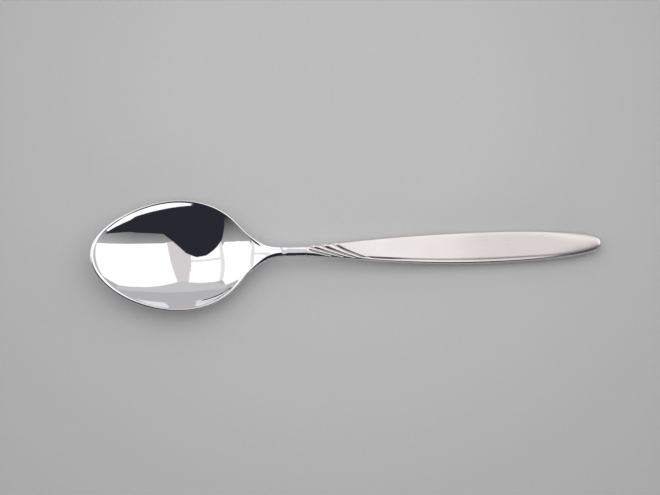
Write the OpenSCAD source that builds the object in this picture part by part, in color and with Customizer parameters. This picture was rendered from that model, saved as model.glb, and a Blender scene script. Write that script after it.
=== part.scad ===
// Coffee spoon with a hollow handle.
// The bowl, neck, shank and tang are one stamping. The handle is two stamped half shells that are
// soldered edge to edge. The tang is cemented inside it, and solder closes the joint at the shank.
// X runs from the bowl's tip to the handle's end, Z is up, and the spoon lies on the plane Z = 0.

/* [Bowl] */
// Length of the bowl's egg-shaped outline along the middle of its rim
bowl_length = 40.7; // [36:0.2:48]
// Width of the bowl across the middle of its rim
bowl_width = 30.6; // [26:0.2:36]
// Distance from the bowl's tip to its widest place
bowl_widest = 23.6; // [20:0.2:26]
// Depth of the bowl from its rim to its floor
bowl_depth = 6.5; // [5:0.1:8.5]
// Thickness of the bowl's metal
bowl_sheet = 0.9; // [0.8:0.05:1.8]
// Angle at which the rim falls from the tip towards the handle
rim_fall = 3.6; // [2:0.1:5]
// Extra rise of the rim at the bowl's tip
tip_rise = 2.6; // [0:0.1:4]
// Length over which the rim rises at the tip
tip_curl = 12; // [8:0.5:20]

/* [Neck] */
// Length of the neck from the bowl's outline to the straight shank
neck_length = 14; // [10:0.1:17]
// Size of the flare that blends the bowl's outline into the neck
neck_flare = 9.9; // [6:0.1:12]
// Extra rise of the upper face from the bowl to the shank
neck_rise = 0.4; // [0:0.1:2]
// Rise of the ramp that the upper face makes along the neck
ramp_rise = 1.6; // [0:0.1:2.4]
// Length over which the metal thickens from the bowl to the shank
heel_length = 25.5; // [16:0.5:28]
// Length of the straight shank
shank_length = 3.2; // [2.5:0.1:10]
// Width of the shank
shank_width = 3; // [2.4:0.05:3.6]
// Thickness of the shank
shank_thickness = 3; // [2.6:0.05:4]

/* [Handle] */
// Length of the handle from its mouth to its end
handle_length = 80; // [70:1:100]
// Width of the handle at its widest place
handle_width = 8.8; // [7:0.1:12]
// Distance from the handle's mouth to its widest place, where it rests on the table
handle_widest = 47.5; // [40:0.5:56]
// Height of the front shell above the middle of the seam
front_crown = 1.2; // [1.1:0.05:2.2]
// Depth of the back shell below the middle of the seam
back_depth = 2.1; // [1.6:0.05:2.8]
// Radius of the handle's rounded end
end_radius = 3.2; // [2:0.1:4]
// Lift of the handle's end above its resting place
end_lift = 1.1; // [0:0.1:3]
// Wall thickness of the two shells
shell_wall = 0.5; // [0.35:0.05:0.65]

/* [Twist] */
// Number of twisted flutes at the handle's mouth
flute_count = 4; // [2:1:5]
// Distance from one flute to the next along the handle
flute_pitch = 3.05; // [2.4:0.05:4]
// Distance that a flute runs along the handle while it crosses the front
flute_sweep = 10; // [6:0.5:14]
// Place of the first flute along the handle's far edge, from the mouth
flute_start = -1.6; // [-3:0.1:2]
// Depth of the flutes
flute_depth = 0.3; // [0.1:0.02:0.36]

/* [Panel] */
// Width of the polished band between the satin panel and the handle's edge
band_width = 0.9; // [0.8:0.05:1.4]
// Depth of the line along the panel's near side
line_depth = 0.08; // [0.04:0.01:0.2]
// Width of the line along the panel's near side
line_width = 1.05; // [0.4:0.05:1.2]

/* [Joints] */
// Thickness of the solder between the two shells
seam_solder_gap = 0.12; // [0.06:0.01:0.3]
// Thickness of the solder between the shank and the handle's mouth
neck_solder_gap = 0.1; // [0.06:0.01:0.3]
// Clearance around the tang in the handle's mouth, which the cement fills
tang_clearance = 0.1; // [0.06:0.01:0.15]
// Length of the tang inside the handle
tang_length = 34; // [20:1:44]
// Width of the tang at its far end
tang_end_width = 1.1; // [0.8:0.05:1.6]
// Thickness of the tang at its far end
tang_end_thickness = 0.8; // [0.6:0.05:1.1]
// Length of cement beyond the tang's far end
cement_cover = 6; // [2:0.5:12]

/* [Hidden] */

// Stations along the spoon, measured from the bowl's tip
shank_start = bowl_length + neck_length;
shoulder = shank_start + shank_length;
mouth = shoulder + neck_solder_gap;
spoon_length = mouth + handle_length;

// Forms of a section: its roundness and the steepness of its sides, both 2 in an ellipse. The rim and
// all undersides are round, the neck is flat with sharp edges, the shank is roof-shaped, and the front
// of the handle past the twist is a flat panel that turns round again towards its end.
round_form = [2.4, 2];
neck_form = [3, 5];
shank_form = [1.2, 6];
panel_form = [9, 5];
end_form = [2, 2];
// Lengths over which the neck's form turns into the shank's, and the panel's into the end's
turn_run = 2.5;
round_run = 22;
// Length of the rounding at the handle's very end
tip_round = 1;
// Distances ahead of the bowl's end at which the neck begins to rise, and its ramp begins
rise_lead = 7.7;
ramp_lead = 2.5;
// Distance from the ramp's end to the shank
ramp_gap = 3.2;
// Distance past the bowl's end at which its hollow section begins to turn flat, and the length of that
flat_start = 1.5;
flat_run = 10;
// Roundness of the handle's outline towards its end
end_power = 3.1;
// How late the handle swells from its mouth: 1 follows a sine, more keeps it slim for longer
swell_power = 1.12;
// How much slower the crown drops than the outline narrows, towards the handle's end
crown_taper = 0.25;
// How a flute bends: 1 is straight, more hooks it round towards the near edge
flute_bend = 1.74;
// Half width of a flute, as a share of the flute pitch
flute_reach = 0.34;
// Shares of the half width over which the flutes run out, at the far seam and at the near band
edge_fade = 0.12;
near_fade = 0.32;
// Shares of the half width at which the flutes and the last one of them have run out
flute_end = 0.7;
last_flute_end = 0.9;
// Share of the line's width that is its steep outer side
line_step = 0.4;

// Counts of the surface points
bowl_columns = 14;
rim_steps = 3;
tip_rows = 10;
bowl_row_pitch = 1.3;
neck_row_pitch = 0.9;
panel_columns = 6;
band_columns = 5;
wall_columns = 8;
back_columns = 14;
fan_rows = 7;
flute_steps = 8;
mouth_row_pitch = 0.6;
handle_row_pitch = 1.9;
tang_rows = 5;

// General shapes

// Runs from 0 to 1 with no step in slope or curvature at its ends
function ease(t) = let (u = max(0, min(1, t))) u * u * u * (u * (6 * u - 15) + 10);

function mix(a, b, t) = a + (b - a) * t;

// Height of a rounded section, 1 on its axis and 0 at its edge
function dome(v, form = round_form) =
    pow(max(0, 1 - pow(min(1, abs(v)), form[0])), 1 / form[1]);

// Numbers from one value to another in steps no longer than the pitch, the first one left out
function steps(from, to, pitch) =
    let (n = max(1, ceil((to - from) / pitch)))
    [for (i = [1 : n]) mix(from, to, i / n)];

// Triangles between two edges that run the same way, given as lists of point numbers
function stitch(p, q) =
    let (n = len(p) - 1, m = len(q) - 1, tie = 0.000001)
    concat(
        [for (i = [0 : n - 1]) [p[i], p[i + 1], q[ceil((i + 0.5) * m / n - 0.5 - tie)]]],
        [for (j = [0 : m - 1]) [q[j + 1], q[j], p[floor((j + 0.5) * n / m + 0.5 + tie)]]]
    );

function reversed(list) = [for (i = [len(list) - 1 : -1 : 0]) list[i]];

// Point numbers of one row, and of one column, of a sheet of points
function row_of(first, columns, r) = [for (c = [0 : columns - 1]) first + r * columns + c];
function column_of(first, columns, rows, c) = [for (r = [0 : rows - 1]) first + r * columns + c];

// Triangles of a sheet of points
function sheet(first, columns, rows) =
    [for (r = [0 : rows - 2]) each stitch(row_of(first, columns, r), row_of(first, columns, r + 1))];

// Triangles of a tube of closed loops, each loop with the same number of points
function loop_of(first, count, r) = concat(row_of(first, count, r), [first + r * count]);
function tube(first, count, loops) =
    [for (r = [0 : loops - 2]) each stitch(loop_of(first, count, r), loop_of(first, count, r + 1))];

function turned(faces) = [for (f = faces) reversed(f)];

// A closed solid, without the triangles that have shrunk to nothing at a pole
module solid(points, faces) {
    polyhedron(points, [
        for (f = faces)
            if (len(f) > 3 || (points[f[0]] != points[f[1]] && points[f[1]] != points[f[2]]
                               && points[f[2]] != points[f[0]]))
                f
    ]);
}

// Bowl, neck and shank

// Height of the centre of the bowl's curved section above the rim
bowl_centre = (pow(bowl_width / 2, 2) - pow(bowl_depth, 2)) / (2 * bowl_depth);

// Square of the half width of the egg, which turns negative past its end
function egg(s) =
    let (front = bowl_widest, rear = bowl_length - bowl_widest,
         size = 2 * front * rear / (front + rear), lean = (front - rear) / (front + rear),
         x = s - bowl_widest, e = x / (size - lean * x))
    pow(bowl_width / 2, 2) * (1 - e * e);

// Share of the way from the bowl to the shank
function neck_share(s) = ease((s - bowl_length) / neck_length);
function heel_share(s) = ease((s - shank_start + heel_length) / heel_length);
function rise_share(s) = ease((s - bowl_length + rise_lead) / (neck_length + rise_lead));
function flat_share(s) = ease((s - bowl_length - flat_start) / flat_run);

// Share of the ramp's rise: it starts gently and ends steep, just before the shank
ramp_end = shank_start - ramp_gap;
function ramp_share(s) =
    let (start = bowl_length - ramp_lead, u = max(0, min(1, (s - start) / (ramp_end - start))))
    u * u * (2 - u);

// Square of the outline's half width: the egg, flared into the shank
function outline_square(s) =
    s <= bowl_widest ? egg(s) :
    let (shank = pow(shank_width / 2, 2), difference = egg(s) - shank,
         flare = pow(neck_flare, 2) * ease((s - bowl_widest) / (bowl_length - bowl_widest))
                 * (1 - neck_share(s)))
    shank + (difference + sqrt(difference * difference + flare * flare)) / 2;

// Thickness of the metal, and its share above (side 1) or below (side -1) the line of its edge
function metal(s) = mix(bowl_sheet, shank_thickness, heel_share(s));
function metal_above(s) = mix(bowl_sheet, metal(s), neck_share(s)) / 2;
function metal_of(s, side) = side > 0 ? metal_above(s) : metal(s) - metal_above(s);

// Height of the upper face along the rim and the neck, before the spoon is set on the table
function face_height(s) =
    tan(rim_fall) * (bowl_widest - s) + tip_rise * pow(max(0, 1 - s / tip_curl), 2)
    + neck_rise * rise_share(s) + ramp_rise * ramp_share(s);

// Height of the surface inside the metal that ends at its edge: it sinks to the bowl's floor and
// curves up from there to the rim
function edge_height(s, y) =
    let (centre = bowl_centre * bowl_centre, square = outline_square(s),
         sink = sqrt(centre + square) - bowl_centre,
         curve = sqrt(centre + square) - sqrt(centre + square - y * y))
    face_height(s) - metal_above(s) - sink * (1 - neck_share(s)) + curve * (1 - flat_share(s));

// Width of the rounding at the metal's edge
function edge_width(s, side) =
    mix(bowl_sheet / 2, sqrt(max(0, outline_square(s))), side > 0 ? neck_share(s) : heel_share(s));

// Form of the upper side along the neck
function upper_form(s) =
    neck_share(s) * (neck_form - round_form) + round_form
    + ease((s - ramp_end) / turn_run + 0.5) * (shank_form - neck_form);

// Thickness on one side of that surface, rounded off towards the edge
function metal_at(s, y, side) =
    let (step = 0.01,
         square = max(0, outline_square(s)),
         run = (outline_square(s + step) - outline_square(s - step)) / (4 * step),
         inset = (square - y * y) / (sqrt(run * run + square) + sqrt(run * run + y * y)))
    metal_of(s, side) * dome(1 - min(1, inset / edge_width(s, side)), side > 0 ? upper_form(s) : round_form);

// A point of the upper (side 1) or lower (side -1) surface
function bowl_point(s, y, side) =
    let (step = 0.01,
         along = (edge_height(s + step, y) - edge_height(s - step, y)) / (2 * step),
         across = (edge_height(s, y + step) - edge_height(s, y - step)) / (2 * step),
         normal = [-along * (1 - heel_share(s)), -across, 1])
    [s, y, edge_height(s, y)] + side * metal_at(s, y, side) / norm(normal) * normal;

// Places across a section, closer together towards its two edges
function places_across(half_width, edge) =
    let (zone = min(edge, half_width / 2), flat = half_width - zone,
         outer = [for (k = [rim_steps - 1 : -1 : 1]) flat + zone * sin(90 * k / rim_steps)])
    concat(
        [for (y = outer) -y], [for (i = [0 : bowl_columns]) mix(-flat, flat, i / bowl_columns)],
        reversed(outer)
    );

// Closed loop of a section: the upper side from edge to edge, then the lower side back
function bowl_loop(s) =
    let (half = sqrt(outline_square(s)),
         above = places_across(half, edge_width(s, 1)), below = places_across(half, edge_width(s, -1)))
    concat(
        [[s, -half, edge_height(s, half)]], [for (y = above) bowl_point(s, y, 1)],
        [[s, half, edge_height(s, half)]], [for (y = reversed(below)) bowl_point(s, y, -1)]
    );

// The rows crowd towards the tip, where the outline turns quickly
tip_zone = bowl_widest / 3;
bowl_rows = concat(
    [for (i = [1 : tip_rows]) tip_zone * pow(i / tip_rows, 2)],
    steps(tip_zone, shank_start - heel_length, bowl_row_pitch),
    steps(shank_start - heel_length, shoulder, neck_row_pitch)
);

// The lift that sets the bowl's lowest place on the table
bowl_lift = -min([for (s = bowl_rows) bowl_point(s, 0, -1)[2]]);
// How far the bowl's outside reaches past the middle of its rim at the tip
tip_reach = -min([for (s = bowl_rows) bowl_point(s, 0, -1)[0]]);

// Handle

mouth_height = edge_height(shoulder, 0) + bowl_lift;
rest_height = back_depth;

// Height of the seam: it leaves the mouth in line with the shank, rests where the handle is widest
// and lifts at the end
function seam_height(t) =
    let (drop = mouth_height - rest_height,
         fall = min(tan(rim_fall) * handle_widest, 3 * max(0, drop)),
         u = max(0, t) / handle_widest, end = (t - handle_widest) / (handle_length - handle_widest))
    t > handle_widest
        ? rest_height + end_lift * end * end
        : rest_height + drop * (2 * u * u * u - 3 * u * u + 1) - fall * (u * u * u - 2 * u * u + u);

// Share of a full size that is left towards the handle's end
function end_share(t) =
    let (u = (t - handle_widest) / (handle_length - handle_widest))
    pow(max(0, 1 - u * u), 1 / end_power);

// A size that swells from the mouth to the widest place and shrinks to the end
function swell(t, at_mouth, full, taper) =
    t < handle_widest ? mix(at_mouth, full, pow(sin(90 * t / handle_widest), swell_power))
                      : full * pow(end_share(t), taper);

function half_width(t) = swell(t, shank_width / 2, handle_width / 2, 1);

// Crown of the front shell (side 1), or depth of the back shell (side -1), from the seam solder
function crown(t, side) =
    swell(t, shank_thickness / 2, side > 0 ? front_crown : back_depth, crown_taper) - seam_solder_gap / 2;

panel_share = 1 - band_width / (handle_width / 2);
line_share = line_width / (handle_width / 2);

// Rows across the handle, each given by its place along the far edge and its angle round the end.
// In the twist a row follows the flutes, so it reaches the near edge further along. Rows that would
// start before the mouth run along it first. Past the end's centre the rows fan out from it.
end_centre = handle_length - end_radius;
last_flute = flute_start + flute_pitch * (flute_count - 1);
handle_rows = concat(
    [[-flute_sweep, 0]],
    [for (b = steps(-flute_sweep, flute_start, mouth_row_pitch)) [b, 0]],
    [for (b = steps(flute_start, last_flute, flute_pitch / flute_steps)) [b, 0]],
    [for (b = steps(last_flute, last_flute + flute_pitch, flute_pitch / flute_steps)) [b, 0]],
    [for (b = steps(last_flute + flute_pitch, end_centre, handle_row_pitch)) [b, 0]],
    [for (i = [1 : fan_rows]) [end_centre, 90 * i / fan_rows]]
);

// How far along the handle a row is at a share v of the way from the middle line to the outline
function along_row(b, v) =
    let (unwound = ease((b - last_flute) / (3 * flute_sweep)))
    max(0, b + (1 - unwound) * flute_sweep * pow((1 - v) / 2, flute_bend));

// Share of the panel's flatness that is left towards the handle's end
function flat_end(t) = ease((end_centre - t) / round_run);

// How deep the twist and the panel's line are cut into the front
function relief(row, v) =
    let (place = (row[0] - flute_start) / flute_pitch, last = flute_count - 1,
         nearest = max(0, min(last, round(place))),
         flute = pow(max(0, 1 - abs(place - nearest) / flute_reach), 2),
         near_end = nearest == last ? last_flute_end : flute_end,
         clear = ease(v > 0 ? (1 - v) / edge_fade : (v + near_end) / near_fade),
         inward = v + panel_share,
         line = max(0, 1 - abs(inward) / line_share / (inward > 0 ? 1 - line_step : line_step)),
         t = along_row(row[0], v))
    flute_depth * flute * clear * ease(t / flute_pitch * 2)
    + line_depth * line * ease((place - last) / 0.8) * flat_end(t);

// Form of a shell's section: the front turns from the shank's to the flat panel, then to the end's
function shell_form(t, side) =
    let (flat = ease(t / (2.5 * flute_sweep)) * flat_end(t), base = t > handle_widest ? end_form : shank_form)
    side > 0 ? base + flat * (panel_form - base) : round_form;

// Share of the height that is left in the rounding at the very end
function tip_share(t) = t < handle_length - tip_round ? 1 : dome((t - handle_length) / tip_round + 1, round_form);

// Direction in a section, from the surface of the crown straight out of the metal
function outward(v, half, high, form) =
    let (step = 0.001, slope = (dome(v - step, form) - dome(v + step, form)) / (2 * step),
         normal = [slope * high, half])
    normal / norm(normal);

// A point of a shell, a share v of the way from the middle line to the outline. It is inset by a
// wall and cut into the surface.
function shell_point(centre, angle, v, side, inset, cut) =
    let (edge = centre + end_radius * sin(angle), high = crown(centre, side) - inset,
         form = shell_form(centre, side),
         out = [edge - centre, angle < 90 ? half_width(edge) : 0],
         groove = cut * outward(abs(v), norm(out), high, form),
         place = out / norm(out) * (abs(v) * (norm(out) - inset) - groove[0]), t = centre + place[0],
         share = angle > 0 && inset == 0 ? place[1] / max(0.001, half_width(t)) : v,
         rise = dome(share, form) * (inset == 0 ? tip_share(t) : 1))
    [mouth + t, v < 0 ? -place[1] : place[1],
     seam_height(t) + side * (seam_solder_gap / 2 + high * rise - groove[1])];

function handle_point(row, v, side, inset) =
    shell_point(along_row(row[0], v), row[1], v, side, inset,
                side > 0 && inset == 0 ? relief(row, v) : 0);

// Shares across a shell: on the outside the panel, its line and the polished band
half_shares = concat(
    [for (i = [1 : panel_columns]) i / panel_columns * (panel_share - (1 - line_step) * line_share)],
    [panel_share],
    [for (i = [0 : band_columns]) mix(panel_share + line_step * line_share, 1, sin(90 * i / band_columns))]
);
outer_shares = concat([for (v = reversed(half_shares)) -v], [0], half_shares);
function round_shares(columns) = [for (i = [0 : columns]) sin(mix(-90, 90, i / columns))];
inner_shares = round_shares(wall_columns);

function shell_points(shares, side, inset) =
    [for (row = handle_rows) each [for (v = shares) handle_point(row, v, side, inset)]];

// Tang

function tang_half(t, at_mouth, at_end) =
    mix(at_mouth - 2 * (shell_wall + tang_clearance), at_end, max(0, t) / tang_length) / 2;

// Closed loop of the tang, a distance t past the handle's mouth
function tang_loop(t) =
    let (half = tang_half(t, shank_width, tang_end_width),
         high = tang_half(t, shank_thickness, tang_end_thickness),
         places = places_across(half, half), z = seam_height(t), s = mouth + t)
    concat(
        [[s, -half, z]], [for (y = places) [s, y, z + high * dome(y / half)]],
        [[s, half, z]], [for (y = reversed(places)) [s, y, z - high * dome(y / half)]]
    );

tang_places = [for (i = [0 : tang_rows]) tang_length * i / tang_rows];
loop_count = 2 * (bowl_columns + 1 + 2 * (rim_steps - 1)) + 2;

// Sub-parts, each in the spoon's own frame

// Moves a sub-part from the tip's frame to the middle of the spoon
module placed() {
    translate([(tip_reach - spoon_length) / 2, 0, 0]) children();
}

function lifted(points) = [for (p = points) p + [0, 0, bowl_lift]];

module bowl_with_tang() {
    loops = concat(
        [for (s = bowl_rows) lifted(bowl_loop(s))],
        [tang_loop(-neck_solder_gap)],
        [for (t = tang_places) tang_loop(t)]
    );
    points = concat([for (l = loops) each l], lifted([[0, 0, edge_height(0, 0)]]));
    tip = len(points) - 1;
    faces = concat(
        stitch([for (i = [0 : loop_count]) tip], loop_of(0, loop_count, 0)),
        tube(0, loop_count, len(loops)),
        [row_of(0, loop_count, len(loops) - 1)]
    );
    color("gainsboro") placed() solid(points, faces);
}

// One half of the handle: the front (side 1) or the back (side -1)
module handle_shell(side) {
    rows = len(handle_rows);
    shares = side > 0 ? outer_shares : round_shares(back_columns);
    outside = len(shares);
    inside = len(inner_shares);
    first_inside = rows * outside;
    points = concat(shell_points(shares, side, 0), shell_points(inner_shares, side, shell_wall));
    faces = concat(
        sheet(0, outside, rows),
        turned(sheet(first_inside, inside, rows)),
        stitch(column_of(0, outside, rows, 0), column_of(first_inside, inside, rows, 0)),
        stitch(column_of(first_inside, inside, rows, inside - 1), column_of(0, outside, rows, outside - 1)),
        stitch(row_of(first_inside, inside, 0), row_of(0, outside, 0))
    );
    placed() solid(points, side > 0 ? faces : turned(faces));
}

module handle_front_shell() {
    color("lightgray") handle_shell(1);
}

module handle_back_shell() {
    color("silver") handle_shell(-1);
}

// Ribbon of solder that follows the seam from the mouth round the end and back
module seam_solder() {
    there = [for (row = handle_rows) [row, -1]];
    back = [for (i = [len(handle_rows) - 2 : -1 : 0]) [handle_rows[i], 1]];
    path = concat(there, back);
    loops = [for (p = path) [
        handle_point(p[0], p[1], 1, 0), handle_point(p[0], p[1], 1, shell_wall),
        handle_point(p[0], p[1], -1, shell_wall), handle_point(p[0], p[1], -1, 0)
    ]];
    count = len(loops[0]);
    faces = concat(
        tube(0, count, len(loops)), [row_of(0, count, len(loops) - 1)], [reversed(row_of(0, count, 0))]
    );
    color("darkgray") placed() solid([for (l = loops) each l], faces);
}

// Ring of solder between the shank's shoulder and the handle's mouth
module neck_solder() {
    ahead = [neck_solder_gap, 0, 0];
    shank = lifted(bowl_loop(shoulder));
    tang = tang_loop(0);
    loops = [
        shank, [for (p = shank) p + ahead], tang, [for (p = tang) p - ahead], shank
    ];
    color("darkgray") placed() solid([for (l = loops) each l], tube(0, loop_count, len(loops)));
}

// Cement that fills the handle's mouth around the tang
module tang_cement() {
    end = tang_length + cement_cover;
    filled = [for (row = handle_rows) if (along_row(row[0], -1) < end - handle_row_pitch / 2) row];
    outer = concat(
        [for (row = filled) concat(
            [for (v = inner_shares) handle_point(row, v, 1, shell_wall)],
            [for (v = reversed(inner_shares)) handle_point(row, v, -1, shell_wall)]
        )],
        [concat(
            [for (v = inner_shares) shell_point(end, 0, v, 1, shell_wall, 0)],
            [for (v = reversed(inner_shares)) shell_point(end, 0, v, -1, shell_wall, 0)]
        )]
    );
    socket = [for (t = tang_places) tang_loop(t)];
    count = len(outer[0]);
    first_socket = count * len(outer);
    faces = concat(
        tube(0, count, len(outer)), [row_of(0, count, len(outer) - 1)],
        turned(tube(first_socket, loop_count, len(socket))),
        [reversed(row_of(first_socket, loop_count, len(socket) - 1))],
        stitch(loop_of(first_socket, loop_count, 0), loop_of(0, count, 0))
    );
    color("dimgray") placed()
        solid(concat([for (l = outer) each l], [for (l = socket) each l]), faces);
}

bowl_with_tang();
handle_front_shell();
handle_back_shell();
seam_solder();
neck_solder();
tang_cement();
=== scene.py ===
import math

import bpy
import numpy as np
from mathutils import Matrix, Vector


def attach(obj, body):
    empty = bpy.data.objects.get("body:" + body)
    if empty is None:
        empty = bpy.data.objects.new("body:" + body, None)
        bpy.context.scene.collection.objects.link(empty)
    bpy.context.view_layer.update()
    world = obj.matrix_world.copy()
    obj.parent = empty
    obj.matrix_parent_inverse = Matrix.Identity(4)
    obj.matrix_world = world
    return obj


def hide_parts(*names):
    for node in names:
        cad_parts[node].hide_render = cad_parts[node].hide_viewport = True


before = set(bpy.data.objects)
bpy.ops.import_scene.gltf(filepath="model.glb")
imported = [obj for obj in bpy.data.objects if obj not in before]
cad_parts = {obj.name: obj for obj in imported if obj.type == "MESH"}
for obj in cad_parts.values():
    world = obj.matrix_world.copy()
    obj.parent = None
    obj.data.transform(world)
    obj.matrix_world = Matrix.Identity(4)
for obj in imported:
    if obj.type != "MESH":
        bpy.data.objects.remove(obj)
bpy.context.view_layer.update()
mm = 0.001

scene = bpy.context.scene
scene.view_settings.view_transform = "Standard"
print("frame loaded:", sorted(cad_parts))


# helpers for shapes

roundForm = (2.4, 2)  # power and root of a plain rounded section
weldDistance = 2e-7  # m, joins points that should be one


def ease(t):  # 0 to 1 with no step in slope or curvature
    u = np.clip(t, 0, 1)
    return u * u * u * (u * (6 * u - 15) + 10)


def dome(v, power, root):  # height of a rounded section, 1 in the middle and 0 at its edge
    return np.maximum(0, 1 - np.minimum(1, np.abs(v)) ** power) ** (1 / root)


def fractions(count):  # even steps to 1, 0 left out
    return [(i + 1) / count for i in range(count)]


def closing(count):  # steps to 1 that close up towards it, 0 left out
    return [math.sin(math.pi / 2 * f) for f in fractions(count)]


def steps(start, end, pitch):  # values from start to end, start left out
    return [start + (end - start) * f for f in fractions(max(1, math.ceil((end - start) / pitch)))]


def mirrored(half):
    return [-v for v in reversed(half)] + [0] + half


def drawSheet(name, points):
    # a grid primitive whose rows and columns are laid over the drawn surface, points in mm
    rows, columns = points.shape[:2]
    bpy.ops.mesh.primitive_grid_add(x_subdivisions=columns - 1, y_subdivisions=rows - 1, size=1)
    sheet = bpy.context.object
    sheet.name = sheet.data.name = name
    sheet.data.vertices.foreach_set("co", (points * mm).astype(np.float32).ravel())
    sheet.data.update()
    return sheet


def mergeDoubles(piece):
    bpy.ops.object.select_all(action="DESELECT")
    piece.select_set(True)
    bpy.context.view_layer.objects.active = piece
    bpy.ops.object.mode_set(mode="EDIT")
    bpy.ops.mesh.select_all(action="SELECT")
    bpy.ops.mesh.remove_doubles(threshold=weldDistance)
    bpy.ops.mesh.normals_make_consistent(inside=False)
    bpy.ops.object.mode_set(mode="OBJECT")


def standFor(piece, node, slot, *materials):
    for material in materials:
        piece.data.materials.append(material)
    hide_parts(node)
    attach(piece, "root")
    print(piece.name, "stands for", node, "with", len(piece.data.polygons), "faces")


# helpers for materials

noiseRange = (0.3, 0.7)  # where nearly all values of a noise lie


def linear(hexColour):  # sRGB hex to the linear colour that sockets take
    parts = [int(hexColour[i:i + 2], 16) / 255 for i in (1, 3, 5)]
    return [c / 12.92 if c <= 0.04045 else ((c + 0.055) / 1.055) ** 2.4 for c in parts] + [1.0]


def newMaterial(name):
    material = bpy.data.materials.new(name)
    material.use_nodes = True
    tree = material.node_tree
    return material, tree, tree.nodes["Principled BSDF"]


def addNode(tree, kind, settings=None, links=None, **values):
    # settings are the node's own options, values go on its sockets, links maps a socket to an output
    node = tree.nodes.new(kind)
    for name, value in (settings or {}).items():
        setattr(node, name, value)
    for name, value in values.items():
        node.inputs[name.replace("_", " ")].default_value = value
    for name, output in (links or {}).items():
        tree.links.new(output, node.inputs[name])
    return node


def objectPlace(tree):
    return addNode(tree, "ShaderNodeTexCoord").outputs["Object"]


def noise(tree, place, size, detail, **values):  # size of the clouds in mm
    node = addNode(tree, "ShaderNodeTexNoise", Scale=1 / (size * mm), Detail=detail,
                   links={"Vector": place}, **values)
    return node.outputs["Fac"]


def remap(tree, value, old, new):
    node = addNode(tree, "ShaderNodeMapRange", From_Min=old[0], From_Max=old[1], To_Min=new[0], To_Max=new[1],
                   links={"Value": value})
    return node.outputs["Result"]


def mixColours(tree, share, hexColours):
    node = addNode(tree, "ShaderNodeMix", dict(data_type="RGBA"), links={"Factor": share},
                   A=linear(hexColours[0]), B=linear(hexColours[1]))
    return node.outputs["Result"]


def bumps(tree, height, strength, depth):  # depth in mm
    node = addNode(tree, "ShaderNodeBump", Strength=strength, Distance=depth * mm, links={"Height": height})
    return node.outputs["Normal"]


# camera, at the photograph's angle

view = dict(azimuth=-2.1, elevation=78, distance=0.7, target=(0, 0, 0.003), lens=140.65, shift=(-0.0258, 0.0072))

turn, tilt = math.radians(view["azimuth"]), math.radians(view["elevation"])
back = Vector((math.sin(turn) * math.cos(tilt), -math.cos(turn) * math.cos(tilt), math.sin(tilt)))
bpy.ops.object.camera_add(location=Vector(view["target"]) + back * view["distance"])
camera = bpy.context.object
camera.name = "camera"
camera.rotation_euler = (-back).to_track_quat("-Z", "Y").to_euler()
camera.data.lens = view["lens"]
camera.data.shift_x, camera.data.shift_y = view["shift"]
scene.camera = camera
print("camera set")


# materials; sizes in mm

def polishedSteel(name, hexColour, roughness):
    # stainless steel, ground and buffed: a clean mirror with the faint haze and drift that buffing leaves
    buffing = dict(cloud=9, detail=3, least=0.6, most=1.5)
    material, tree, shader = newMaterial(name)
    shader.inputs["Base Color"].default_value = linear(hexColour)
    shader.inputs["Metallic"].default_value = 1
    clouds = noise(tree, objectPlace(tree), buffing["cloud"], buffing["detail"])
    haze = remap(tree, clouds, noiseRange, (roughness * buffing["least"], roughness * buffing["most"]))
    tree.links.new(haze, shader.inputs["Roughness"])
    return material


def satinSteel(name, hexColours):
    # stainless steel, brushed lengthwise with fine grit: soft long streaks that spread light across them
    # real grit lines are 0.03 mm apart, drawn wider so that they show; the clouds are the belt's uneven pressure
    grit = dict(pitch=0.22, stretch=30, detail=4, fineness=0.6, bump=0.03, depth=0.02)
    belt = dict(cloud=7, detail=2, pressure=(0.1, 0.45), roughness=(0.27, 0.36))
    material, tree, shader = newMaterial(name)
    shader.inputs["Metallic"].default_value = 1
    place = objectPlace(tree)
    along = addNode(tree, "ShaderNodeMapping", Scale=(1 / grit["stretch"], 1, 1), links={"Vector": place})
    lines = noise(tree, along.outputs["Vector"], grit["pitch"], grit["detail"], Roughness=grit["fineness"])
    clouds = noise(tree, place, belt["cloud"], belt["detail"])
    both = addNode(tree, "ShaderNodeMath", dict(operation="MULTIPLY"))
    tree.links.new(lines, both.inputs[0])
    tree.links.new(clouds, both.inputs[1])
    rough = remap(tree, both.outputs["Value"], belt["pressure"], belt["roughness"])
    tree.links.new(mixColours(tree, lines, hexColours), shader.inputs["Base Color"])
    tree.links.new(rough, shader.inputs["Roughness"])
    tree.links.new(bumps(tree, lines, grit["bump"], grit["depth"]), shader.inputs["Normal"])
    return material


def silverSolder(name, hexColour):
    # silver solder, filed flush: duller and a little greyer than the steel beside it
    filing = dict(mark=0.4, detail=3, roughness=(0.22, 0.4))
    material, tree, shader = newMaterial(name)
    shader.inputs["Base Color"].default_value = linear(hexColour)
    shader.inputs["Metallic"].default_value = 1
    marks = noise(tree, objectPlace(tree), filing["mark"], filing["detail"])
    tree.links.new(remap(tree, marks, noiseRange, filing["roughness"]), shader.inputs["Roughness"])
    return material


def handleCement(name, hexColours):
    # filled resin cement, poured hot and set: dull, with pale grains of filler
    filler = dict(grain=0.5, bump=0.4, depth=0.05, roughness=0.85)
    material, tree, shader = newMaterial(name)
    grains = addNode(tree, "ShaderNodeTexVoronoi", Scale=1 / (filler["grain"] * mm),
                     links={"Vector": objectPlace(tree)}).outputs["Distance"]
    tree.links.new(mixColours(tree, grains, hexColours), shader.inputs["Base Color"])
    tree.links.new(bumps(tree, grains, filler["bump"], filler["depth"]), shader.inputs["Normal"])
    shader.inputs["Roughness"].default_value = filler["roughness"]
    return material


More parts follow.
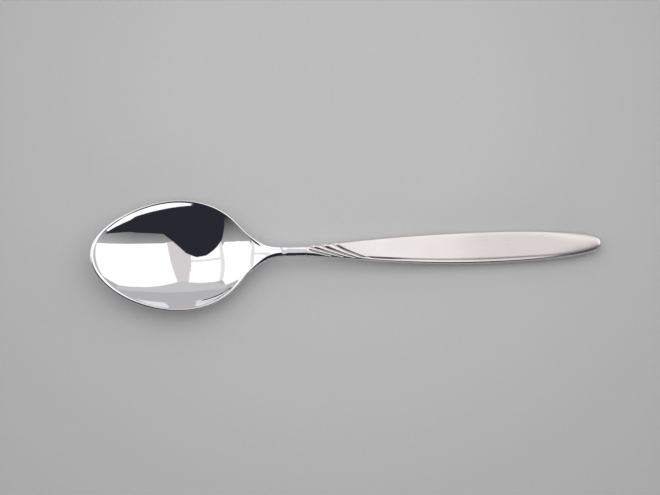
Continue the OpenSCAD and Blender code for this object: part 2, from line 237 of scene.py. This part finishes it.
mirrorSteel = polishedSteel("stainlessSteelMirrorPolished", "#dcdcde", 0.035)
edgeSteel = polishedSteel("stainlessSteelBuffed", "#d9d8d9", 0.05)
twistSteel = polishedSteel("stainlessSteelFineSatin", "#d8d4d3", 0.2)
brushedSteel = satinSteel("stainlessSteelSatinBrushed", ("#d0cbca", "#dfdad9"))
solder = silverSolder("silverSolderFiled", "#c4c2c0")
cement = handleCement("resinCementPoured", ("#6f675c", "#8d8474"))
print("materials made")


# bowl, neck, shank and tang, one piece; sizes in mm, s runs from the bowl's tip along the spoon

bowl = dict(length=40.7, width=30.6, widest=23.6, depth=6.5, sheet=0.9, rimFall=3.6, tipRise=2.6, tipCurl=12,
            columns=56, rimColumns=8, tipRows=32, tipRowShare=1 / 3, rowPitch=0.4, smoothAngle=40)
neck = dict(length=14, flare=9.9, rise=0.4, riseLead=7.7, heelLength=25.5, ramp=1.6, rampLead=2.5, rampGap=3.2,
            flatStart=1.5, flatRun=10, turnRun=2.5, form=(3, 5))
shank = dict(length=3.2, width=3, thickness=3, form=(1.2, 6))
tang = dict(inset=0.6, length=34, endWidth=1.1, endThickness=0.8, sections=6)
solderGap = dict(neck=0.1, seam=0.12)
slopeStep = 0.01  # half the run over which a slope is taken

shankStart = bowl["length"] + neck["length"]
shoulder = shankStart + shank["length"]
mouth = shoulder + solderGap["neck"]
rampStart, rampEnd = bowl["length"] - neck["rampLead"], shankStart - neck["rampGap"]
rimSlope = math.tan(math.radians(bowl["rimFall"]))
bowlCentre = ((bowl["width"] / 2) ** 2 - bowl["depth"] ** 2) / (2 * bowl["depth"])  # above the rim


def eggSquare(s):  # half width of the egg outline, squared
    front, rear = bowl["widest"], bowl["length"] - bowl["widest"]
    size, lean = 2 * front * rear / (front + rear), (front - rear) / (front + rear)
    x = s - bowl["widest"]
    return (bowl["width"] / 2) ** 2 * (1 - (x / (size - lean * x)) ** 2)


def neckShare(s):
    return ease((s - bowl["length"]) / neck["length"])


def heelShare(s):
    return ease((s - shankStart + neck["heelLength"]) / neck["heelLength"])


def riseShare(s):
    return ease((s - bowl["length"] + neck["riseLead"]) / (neck["length"] + neck["riseLead"]))


def rampShare(s):  # starts gently and ends steep, where the shank begins
    u = np.clip((s - rampStart) / (rampEnd - rampStart), 0, 1)
    return u * u * (2 - u)


def flatShare(s):
    return ease((s - bowl["length"] - neck["flatStart"]) / neck["flatRun"])


def outlineSquare(s):  # the egg, flared into the shank
    least = (shank["width"] / 2) ** 2
    gap = eggSquare(s) - least
    begun = ease((s - bowl["widest"]) / (bowl["length"] - bowl["widest"]))
    flare = neck["flare"] ** 2 * begun * (1 - neckShare(s))
    return np.where(s <= bowl["widest"], eggSquare(s), least + (gap + np.sqrt(gap ** 2 + flare ** 2)) / 2)


def metal(s):
    return bowl["sheet"] + (shank["thickness"] - bowl["sheet"]) * heelShare(s)


def metalAbove(s):
    return (bowl["sheet"] + (metal(s) - bowl["sheet"]) * neckShare(s)) / 2


def edgeHeight(s, y):  # the surface inside the metal that ends at its edge
    rise = bowl["tipRise"] * np.maximum(0, 1 - s / bowl["tipCurl"]) ** 2 + neck["rise"] * riseShare(s)
    face = rimSlope * (bowl["widest"] - s) + rise + neck["ramp"] * rampShare(s)
    radius = np.sqrt(bowlCentre ** 2 + outlineSquare(s))
    curve = radius - np.sqrt(radius ** 2 - y * y)
    return face - metalAbove(s) - (radius - bowlCentre) * (1 - neckShare(s)) + curve * (1 - flatShare(s))


def edgeWidth(s, side):  # width of the rounding at the metal's edge
    half = np.sqrt(np.maximum(0, outlineSquare(s)))
    return bowl["sheet"] / 2 + (half - bowl["sheet"] / 2) * (neckShare(s) if side > 0 else heelShare(s))


def upperForm(s):  # round at the bowl's rim, flat with sharp edges on the neck, roof-shaped on the shank
    turned = ease((s - rampEnd) / neck["turnRun"] + 0.5)
    return [atRim + (atNeck - atRim) * neckShare(s) + (atShank - atNeck) * turned
            for atRim, atNeck, atShank in zip(roundForm, neck["form"], shank["form"])]


def bowlPoint(s, y, side):  # side 1 is the upper surface, -1 the lower
    square = np.maximum(0, outlineSquare(s))
    run = (outlineSquare(s + slopeStep) - outlineSquare(s - slopeStep)) / (4 * slopeStep)  # half width times slope
    inset = (square - y * y) / (np.sqrt(run ** 2 + square) + np.sqrt(run ** 2 + y * y))
    form = upperForm(s) if side > 0 else roundForm
    full = metalAbove(s) if side > 0 else metal(s) - metalAbove(s)
    part = full * dome(1 - np.minimum(1, inset / edgeWidth(s, side)), *form)
    along = (edgeHeight(s + slopeStep, y) - edgeHeight(s - slopeStep, y)) / (2 * slopeStep)
    across = (edgeHeight(s, y + slopeStep) - edgeHeight(s, y - slopeStep)) / (2 * slopeStep)
    normal = np.stack([-along * (1 - heelShare(s)), -across, np.ones_like(along)], -1)
    normal = normal / np.linalg.norm(normal, axis=-1, keepdims=True)
    return np.stack([s, y, edgeHeight(s, y)], -1) + side * part[..., None] * normal


def bowlSheet(rows, side):
    sheet = []
    for s in rows:
        half = float(np.sqrt(np.maximum(0, outlineSquare(s))))
        zone = min(float(edgeWidth(s, side)), half / 2)
        edge = [half - zone + zone * f for f in closing(bowl["rimColumns"])]
        flat = np.linspace(zone - half, half - zone, bowl["columns"] + 1)
        y = np.concatenate([[-e for e in reversed(edge)], flat, edge])
        sheet.append(bowlPoint(np.full(len(y), float(s)), y, side))
    return np.array(sheet)


tipZone = bowl["widest"] * bowl["tipRowShare"]  # rows close up towards the tip
bowlRows = [0] + [tipZone * f ** 2 for f in fractions(bowl["tipRows"])] + steps(tipZone, shoulder, bowl["rowPitch"])
underside = bowlPoint(np.array(bowlRows), np.zeros(len(bowlRows)), -1)
lift = -underside[:, 2].min()  # sets the bowl on the table
tipReach = -underside[:, 0].min()  # how far the outside reaches past the rim's middle at the tip

handle = dict(length=80, width=8.8, widest=47.5, crown=1.2, back=2.1, wall=0.5, endRadius=3.2, endLift=1.1,
              endPower=3.1, swellPower=1.12, crownTaper=0.25, panelForm=(9, 5), flatRun=25, roundRun=22,
              tipForm=(2, 2), tipRound=1, panelColumns=14, lineColumns=4, bandColumns=12, backColumns=20,
              rowPitch=0.6, fanRows=22, smoothAngle=50)

spoonLength = mouth + handle["length"]
offset = np.array([(tipReach - spoonLength) / 2, 0, 0])  # the frame's origin is in the middle of the spoon
mouthHeight = float(edgeHeight(np.array(shoulder), np.array(0.0))) + lift


def seamHeight(t):  # leaves the mouth in line with the shank, rests at the widest place, lifts at the end
    drop = mouthHeight - handle["back"]
    fall = min(rimSlope * handle["widest"], 3 * max(0, drop))  # a steeper start would dip below the end
    u = np.maximum(0, t) / handle["widest"]
    end = (t - handle["widest"]) / (handle["length"] - handle["widest"])
    before = drop * (2 * u ** 3 - 3 * u ** 2 + 1) - fall * (u ** 3 - 2 * u ** 2 + u)
    return handle["back"] + np.where(t > handle["widest"], handle["endLift"] * end ** 2, before)


upper = drawSheet("bowlWithTang", bowlSheet(bowlRows, 1) + offset + [0, 0, lift])
drawSheet("bowlUnderside", bowlSheet(bowlRows, -1) + offset + [0, 0, lift])
upper.select_set(True)
bpy.context.view_layer.objects.active = upper
bpy.ops.object.join()
mergeDoubles(upper)

# the tang is drawn out of the shank's end, a step narrower than the shank
bpy.ops.object.mode_set(mode="EDIT")
bpy.ops.mesh.select_mode(type="EDGE")
bpy.ops.mesh.select_all(action="DESELECT")
bpy.ops.mesh.select_non_manifold(extend=False, use_wire=False, use_boundary=True, use_multi_face=False,
                                 use_non_contiguous=False, use_verts=False)
centre = Vector(((shoulder + offset[0]) * mm, 0, mouthHeight * mm))
size = shankSize = np.array([shank["width"], shank["thickness"]])
tangStart, tangEnd = shankSize - 2 * tang["inset"], np.array([tang["endWidth"], tang["endThickness"]])
tangPlaces = [(shoulder, mouthHeight, tangStart)]
for share in [0] + fractions(tang["sections"]):
    t = tang["length"] * share
    tangPlaces.append((mouth + t, float(seamHeight(np.array(t))), tangStart + (tangEnd - tangStart) * share))
for s, height, newSize in tangPlaces:
    newCentre = Vector(((s + offset[0]) * mm, 0, height * mm))
    bpy.ops.mesh.extrude_edges_move(TRANSFORM_OT_translate=dict(value=newCentre - centre))
    bpy.ops.transform.resize(value=(1, *(newSize / size)), center_override=newCentre)
    centre, size = newCentre, newSize
bpy.ops.mesh.edge_face_add()
bpy.ops.mesh.select_all(action="SELECT")
bpy.ops.mesh.normals_make_consistent(inside=False)
bpy.ops.object.mode_set(mode="OBJECT")
bpy.ops.object.shade_smooth_by_angle(angle=math.radians(bowl["smoothAngle"]))
standFor(upper, "bowl_with_tang", "polished_steel", mirrorSteel)


# handle shells; t runs from the handle's mouth, v is the share from the middle line to the outline

twist = dict(count=4, pitch=3.05, sweep=10, start=-1.6, depth=0.34, bend=1.9, reach=0.42, edgeFade=0.12,
             nearFade=0.32, nearEnd=0.9, mouthFade=0.5, unwindRun=30, rowPitch=0.13)
# the line between the satin panel and the polished edge; its lead and its deeper start are counted in flutes
panelLine = dict(inset=0.9, width=1.05, step=0.4, depth=0.115, startDepth=0.24, startRun=7, lead=0.8)
tiny = 1e-6
shareStep = 0.001  # half the share over which a slope is taken

panelShare = 1 - panelLine["inset"] / (handle["width"] / 2)
lineShare = panelLine["width"] / (handle["width"] / 2)
lineIn, lineOut = lineShare * (1 - panelLine["step"]), lineShare * panelLine["step"]
bandShare = panelShare + lineOut  # where the polished edge begins
endCentre = handle["length"] - handle["endRadius"]
lastFlute = twist["start"] + twist["pitch"] * (twist["count"] - 1)


def swell(t, atMouth, full, taper):
    u = (t - handle["widest"]) / (handle["length"] - handle["widest"])
    end = full * np.maximum(0, 1 - u * u) ** (taper / handle["endPower"])
    grow = np.sin(math.pi / 2 * np.clip(t / handle["widest"], 0, 1)) ** handle["swellPower"]
    return np.where(t < handle["widest"], atMouth + (full - atMouth) * grow, end)


def halfWidth(t):
    return swell(t, shank["width"] / 2, handle["width"] / 2, 1)


def alongRow(b, v):  # a row in the twist follows the flutes, so it reaches the near edge further along
    unwound = ease((b - lastFlute) / twist["unwindRun"])
    return np.maximum(0, b + (1 - unwound) * twist["sweep"] * ((1 - v) / 2) ** twist["bend"])


def flatEnd(t):
    return ease((endCentre - t) / handle["roundRun"])


def relief(b, v):  # how deep the twist and the panel's line are cut
    t = alongRow(b, v)
    place, last = (b - twist["start"]) / twist["pitch"], twist["count"] - 1
    nearest = np.clip(np.round(place), 0, last)
    flute = np.maximum(0, 1 - np.abs(place - nearest) / twist["reach"]) ** 2
    fade = np.where(v > 0, (1 - v) / twist["edgeFade"], (v + twist["nearEnd"]) / twist["nearFade"])
    clear = ease(t / (twist["pitch"] * twist["mouthFade"])) * ease(fade)
    inward = v + panelShare
    line = np.maximum(0, 1 - np.abs(inward) / np.where(inward > 0, lineIn, lineOut))
    started = ease((place - last) / panelLine["lead"])
    deeper = (panelLine["startDepth"] - panelLine["depth"]) * (1 - ease((place - last) / panelLine["startRun"]))
    return twist["depth"] * flute * clear + (panelLine["depth"] + deeper) * line * started * flatEnd(t)


def frontForm(t):  # a flat panel past the twist, with sides that turn round again at the end
    flat = ease(t / handle["flatRun"]) * flatEnd(t)
    ends = [np.where(t > handle["widest"], *pair) for pair in zip(handle["tipForm"], shank["form"])]
    return [end + (panel - end) * flat for end, panel in zip(ends, handle["panelForm"])]


def shellPoints(rows, shares, side):  # side 1 is the front, -1 the back
    b, v = np.meshgrid([row[0] for row in rows], shares, indexing="ij")
    angle = np.radians(np.meshgrid([row[1] for row in rows], shares, indexing="ij")[0])
    full = handle["crown"] if side > 0 else handle["back"]
    centre = alongRow(b, v)
    edge = centre + handle["endRadius"] * np.sin(angle)
    high = swell(centre, shank["thickness"] / 2, full, handle["crownTaper"]) - solderGap["seam"] / 2
    out = np.stack([edge - centre, np.where(angle < math.pi / 2 - tiny, halfWidth(edge), 0)], -1)
    length = np.linalg.norm(out, axis=-1)
    cut = relief(b, v) if side > 0 else np.zeros_like(b)
    form = frontForm(centre) if side > 0 else roundForm
    slope = (dome(np.abs(v) - shareStep, *form) - dome(np.abs(v) + shareStep, *form)) / (2 * shareStep)
    normal = np.stack([slope * high, length], -1)
    groove = normal / np.linalg.norm(normal, axis=-1, keepdims=True) * cut[..., None]
    place = out / length[..., None] * (np.abs(v) * length - groove[..., 0])[..., None]
    t = centre + place[..., 0]
    across = np.where(angle > 0, place[..., 1] / np.maximum(halfWidth(t), tiny), v)  # round the end too
    tipStart = handle["length"] - handle["tipRound"]
    over = np.where(t > tipStart, dome((t - tipStart) / handle["tipRound"], *roundForm), 1)
    z = seamHeight(t) + side * (solderGap["seam"] / 2 + high * dome(across, *form) * over - groove[..., 1])
    return np.stack([mouth + t, np.where(v < 0, -place[..., 1], place[..., 1]), z], -1) + offset


places = [-twist["sweep"]] + steps(-twist["sweep"], twist["start"], 2 * twist["rowPitch"])
places += steps(twist["start"], lastFlute + twist["pitch"], twist["rowPitch"])
places += steps(places[-1], endCentre, handle["rowPitch"])
shellRows = [(b, 0) for b in places] + [(endCentre, 90 * f) for f in fractions(handle["fanRows"])]
frontShares = mirrored([(panelShare - lineIn) * f for f in fractions(handle["panelColumns"])]
                       + [panelShare - lineIn * (1 - f) for f in fractions(handle["lineColumns"])]
                       + [panelShare + lineOut / 2, bandShare]
                       + [bandShare + (1 - bandShare) * f for f in closing(handle["bandColumns"])])

front = drawSheet("handleFront", shellPoints(shellRows, frontShares, 1))
finishes = []
for row, nextRow in zip(shellRows, shellRows[1:]):
    b = (row[0] + nextRow[0]) / 2
    finish = int(b > twist["start"]) + int(b > lastFlute)  # 0 buffed, 1 fine satin, 2 brushed
    finishes += [finish if (v + nextV) / 2 > -bandShare else 0
                 for v, nextV in zip(frontShares, frontShares[1:])]
front.data.polygons.foreach_set("material_index", np.array(finishes, np.int32))
rear = drawSheet("handleBack", shellPoints(shellRows, mirrored(closing(handle["backColumns"])), -1))

for shell, node, slot, steels in (
        (front, "handle_front_shell", "satin_steel", (edgeSteel, twistSteel, brushedSteel)),
        (rear, "handle_back_shell", "back_steel", (edgeSteel,))):
    mergeDoubles(shell)
    up = sum(p.normal.z * p.area for p in shell.data.polygons)
    if (up < 0) == (shell is front):
        bpy.ops.object.mode_set(mode="EDIT")
        bpy.ops.mesh.select_all(action="SELECT")
        bpy.ops.mesh.flip_normals()
        bpy.ops.object.mode_set(mode="OBJECT")
    wall = shell.modifiers.new("wall", "SOLIDIFY")
    wall.thickness = handle["wall"] * mm
    wall.offset = -1
    bpy.ops.object.modifier_apply(modifier=wall.name)
    bpy.ops.object.shade_smooth_by_angle(angle=math.radians(handle["smoothAngle"]))
    standFor(shell, node, slot, *steels)

for node, material in (("seam_solder", solder), ("neck_solder", solder), ("tang_cement", cement)):
    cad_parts[node].data.materials.clear()
    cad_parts[node].data.materials.append(material)
print("solder and cement finished")


# floor; a pool of light is painted into its colour, which falls off outside the pool behind the spoon, lengths in m
# but the fibres in mm

paper = dict(size=3, fibre=1.5, detail=4, tints=("#c8c8c8", "#cccccc"), roughness=0.9,
             pool=(-0.005, 0.042, 0), falloff=(0.04, 0.135), light=(1, 0.78))

bpy.ops.mesh.primitive_plane_add(size=paper["size"], location=(0, 0, 0))
floor = bpy.context.object
floor.name = "floor"
material, tree, shader = newMaterial("matteBackgroundPaper")  # uncoated paper, rolled: dull, with fine fibres
place = objectPlace(tree)
tint = mixColours(tree, noise(tree, place, paper["fibre"], paper["detail"]), paper["tints"])
# painted light: the paper's colour is darkened with distance from the pool
away = addNode(tree, "ShaderNodeVectorMath", dict(operation="DISTANCE"), links={"Vector": place})
away.inputs[1].default_value = paper["pool"]
lit = remap(tree, away.outputs["Value"], paper["falloff"], paper["light"])
dimmed = addNode(tree, "ShaderNodeVectorMath", dict(operation="SCALE"), links={"Vector": tint, "Scale": lit})
tree.links.new(dimmed.outputs["Vector"], shader.inputs["Base Color"])
shader.inputs["Roughness"].default_value = paper["roughness"]
floor.data.materials.append(material)
print("floor laid")


# studio: white panels and windows that the steel mirrors, a dark flag, two lights for the floor; corners in m

studio = dict(panel=1.45, frame=1.05, ceiling=0.92, ceilingTint="#fbf6f6", farWall=0.76, flag=0.04,
              flagTint="#dfe0ff", topLight=1.7, frontLight=1.2, wall=(0.06, 0.62), wallReach=(-0.65, -0.05))


def card(name, strength, corners, tint="#ffffff", fills=False):
    bpy.ops.mesh.primitive_circle_add(vertices=len(corners), radius=1, fill_type="NGON")
    panel = bpy.context.object
    panel.name = name
    for vertex, corner in zip(panel.data.vertices, corners):
        vertex.co = corner
    material, tree, shader = newMaterial(name + "Cloth")  # lit cloth, stretched flat
    tree.nodes.remove(shader)
    light = addNode(tree, "ShaderNodeEmission", Strength=strength, Color=linear(tint))
    tree.links.new(light.outputs["Emission"], tree.nodes["Material Output"].inputs["Surface"])
    panel.data.materials.append(material)
    panel.visible_camera = False
    panel.visible_diffuse, panel.visible_glossy = fills, not fills


card("rightPanel", studio["panel"], (
    (0.24, -0.26, 1.14), (1.12, -0.05, 0.17), (0.92, 0.68, 0.05), (0.74, 0.87, 0.16), (0.39, 0.97, 0.53),
    (0.06, 0.87, 0.82)))
card("leftPanel", studio["panel"], (
    (-0.82, -0.09, 0.91), (-0.86, -0.2, 0.85), (-1.04, -0.15, 0.63), (-1.3, -0.2, 0.1), (-1.0, 0.9, 0.1),
    (-0.71, 0.95, 0.28), (-0.69, 0.86, 0.51), (-0.81, 0.03, 0.92)))
card("windowUpper", studio["panel"], (
    (-0.14, -0.35, 1.15), (-0.14, 0.26, 1.15), (-0.73, 0.24, 0.93), (-0.72, -0.28, 0.96)))
card("windowLower", studio["panel"], (
    (-0.13, 0.32, 1.13), (-0.12, 0.88, 0.81), (-0.61, 0.88, 0.55), (-0.73, 0.3, 0.91)))
card("windowFrame", studio["frame"], (
    (-0.11, -0.48, 1.34), (-0.11, 1.08, 0.97), (-0.84, 1.08, 0.64), (-1.01, 0.03, 1.1), (-0.94, -0.4, 1.12)))
card("ceilingStrip", studio["ceiling"], (
    (0.3, -0.3, 1.2), (0.1, 0.95, 0.88), (-0.15, 0.95, 0.88), (-0.15, -0.4, 1.24)), studio["ceilingTint"])
card("farWall", studio["farWall"], (
    (0.77, 0.9, 0.17), (0.41, 1.01, 0.55), (0.06, 0.9, 0.85), (-0.32, 0.95, 0.75), (-0.62, 0.94, 0.56),
    (-0.75, 0.99, 0.23), (-0.71, 1.03, 0.18), (-0.38, 1.09, 0.47), (0.01, 1.11, 0.54), (0.33, 1.1, 0.42),
    (0.73, 0.95, 0.03)))
card("lowPanel", studio["panel"], (
    (1.12, -0.44, 0.33), (0.95, -0.66, 0.55), (0.41, -1.06, 0.65), (-0.28, -1.19, 0.5), (-0.28, -1.2, 0.37),
    (0.24, -1.19, 0.37), (0.48, -1.09, 0.38), (0.88, -0.81, 0.34), (1.15, -0.44, 0.28)))
card("darkFlag", studio["flag"], (
    (0.83, -0.25, 0.22), (0.78, -0.35, 0.26), (0.51, -0.64, 0.41), (0.28, -0.79, 0.39), (-0.22, -0.87, 0.3),
    (-0.49, -0.77, 0.3), (-0.66, -0.64, 0.3), (-0.64, -0.21, 0.7), (-0.52, -0.02, 0.83), (-0.38, 0.12, 0.88),
    (-0.22, 0.15, 0.92), (-0.06, 0.04, 0.95), (0.12, -0.28, 0.89), (0.21, -0.41, 0.81), (0.56, -0.42, 0.59)),
    studio["flagTint"])
card("topLight", studio["topLight"], (
    (-0.8, -0.5, 1.1), (0.8, -0.5, 1.1), (0.8, 0.8, 1.1), (-0.8, 0.8, 1.1)), fills=True)
card("frontLight", studio["frontLight"], (
    (-0.9, -0.9, 0.05), (0.9, -0.9, 0.05), (0.9, -0.9, 0.7), (-0.9, -0.9, 0.7)), fills=True)

# the room is lighter at the back than behind the flag
world = bpy.data.worlds.new("studioWall")
scene.world = world
world.use_nodes = True
tree = world.node_tree
place = addNode(tree, "ShaderNodeTexCoord")
axes = addNode(tree, "ShaderNodeSeparateXYZ", links={"Vector": place.outputs["Generated"]})
background = tree.nodes["Background"]
background.inputs["Color"].default_value = linear("#ffffff")
tree.links.new(remap(tree, axes.outputs["Y"], studio["wallReach"], studio["wall"]), background.inputs["Strength"])
print("studio set")
